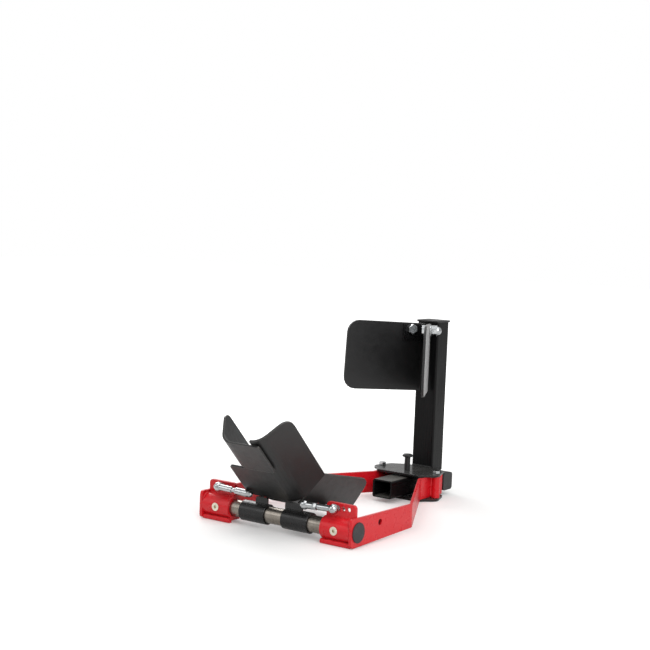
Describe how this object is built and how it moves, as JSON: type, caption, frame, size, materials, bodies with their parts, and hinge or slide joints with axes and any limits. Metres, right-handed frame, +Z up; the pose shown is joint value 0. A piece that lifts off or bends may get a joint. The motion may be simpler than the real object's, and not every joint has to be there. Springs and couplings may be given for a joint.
{
  "type": "motorcycle wheel clamp stand",
  "caption": "Drive-in motorcycle wheel clamp: red arms hold a round shaft with a rocking two-part sheet cradle that closes on the tyre, in front of a post with a V holder.",
  "frame": {"origin": "on the floor under the centre of the bounding box", "axes": "+Z up, +Y from the cradle towards the post, +X to the right for someone looking along +Y"},
  "size_m": [0.3636, 0.69, 0.3805],
  "materials": {
    "black_powder_coat": "satin black powder coat on steel",
    "black_sheet_coat": "satin black powder coat on folded sheet steel",
    "red_powder_coat": "glossy red powder coat on steel",
    "bare_steel": "drawn steel, oiled",
    "bright_zinc": "bright zinc plating",
    "black_plastic": "fine-grained moulded black plastic",
    "grey_plastic": "moulded dark grey plastic"
  },
  "bodies": {
    "frame": {"arm_left": "red_powder_coat", "arm_right": "red_powder_coat", "beam_cap_left": "black_plastic", "beam_cap_right": "black_plastic", "clamp_screw_left": "bright_zinc", "clamp_screw_right": "bright_zinc", "end_block_left": "red_powder_coat", "end_block_right": "red_powder_coat", "hinge_bolt_left": "bright_zinc", "hinge_bolt_right": "bright_zinc", "holder_bolt_left": "bright_zinc", "holder_bolt_right": "bright_zinc", "holder_bracket": "black_powder_coat", "holder_nut_left": "bright_zinc", "holder_nut_right": "bright_zinc", "holder_plate_left": "black_powder_coat", "holder_plate_right": "black_powder_coat", "holder_washer_left": "bright_zinc", "holder_washer_right": "bright_zinc", "link_stud_left": "bright_zinc", "link_stud_right": "bright_zinc", "lower_plate": "black_powder_coat", "post": "black_powder_coat", "post_cap": "black_plastic", "rear_beam": "black_powder_coat", "shaft": "bare_steel", "shaft_plug_left": "grey_plastic", "shaft_plug_right": "grey_plastic", "spine_tube": "black_powder_coat", "stud_nut_left": "bright_zinc", "stud_nut_right": "bright_zinc", "upper_plate": "black_powder_coat"},
    "bush_left": {"bush_left": "black_powder_coat"},
    "bush_right": {"bush_right": "black_powder_coat"},
    "cradle_left": {"cradle_left": "black_sheet_coat", "link_lug_left": "black_powder_coat"},
    "cradle_right": {"cradle_right": "black_sheet_coat", "link_lug_right": "black_powder_coat"},
    "link_left": {"link_left": "bright_zinc"},
    "link_right": {"link_right": "bright_zinc", "link_nut_right": "bright_zinc"},
    "pin": {"lock_pin": "black_plastic"}
  },
  "joints": [
    {"name": "open_left", "type": "slide", "parent": "frame", "child": "bush_left", "axis": [-1, 0, 0], "range_m": [0, 0.01015]},
    {"name": "open_right", "type": "slide", "parent": "frame", "child": "bush_right", "axis": [1, 0, 0], "range_m": [0, 0.01257]},
    {"name": "rock", "type": "hinge", "parent": "bush_left", "child": "cradle_left", "pos_m": [-0.004, -0.22052, 0.028], "axis": [1, 0, 0], "range_deg": [0, 57]},
    {"name": "rock_right", "type": "hinge", "parent": "bush_right", "child": "cradle_right", "pos_m": [-0.004, -0.22052, 0.028], "axis": [1, 0, 0], "range_deg": [0, 57]},
    {"name": "link_swing_left", "type": "hinge", "parent": "frame", "child": "link_left", "pos_m": [-0.139, -0.23403, 0.066], "axis": [-0.0193, 0.7604, -0.6492], "range_deg": [0, 28.46]},
    {"name": "link_swing_right", "type": "hinge", "parent": "frame", "child": "link_right", "pos_m": [0.1325, -0.23403, 0.066], "axis": [-0.0193, -0.759, 0.6508], "range_deg": [0, 35.08]},
    {"name": "pin_lift", "type": "slide", "parent": "frame", "child": "pin", "axis": [0, 0, 1], "range_m": [0, 0.018]}
  ],
  "couplings": [
    {"joint": "rock_right", "follows": "rock", "ratio": 1},
    {"joint": "open_left", "follows": "rock", "m_per_rad": 0.010155},
    {"joint": "link_swing_left", "follows": "rock", "ratio": 0.49848},
    {"joint": "open_right", "follows": "rock", "m_per_rad": 0.012583},
    {"joint": "link_swing_right", "follows": "rock", "ratio": 0.61457}
  ]
}
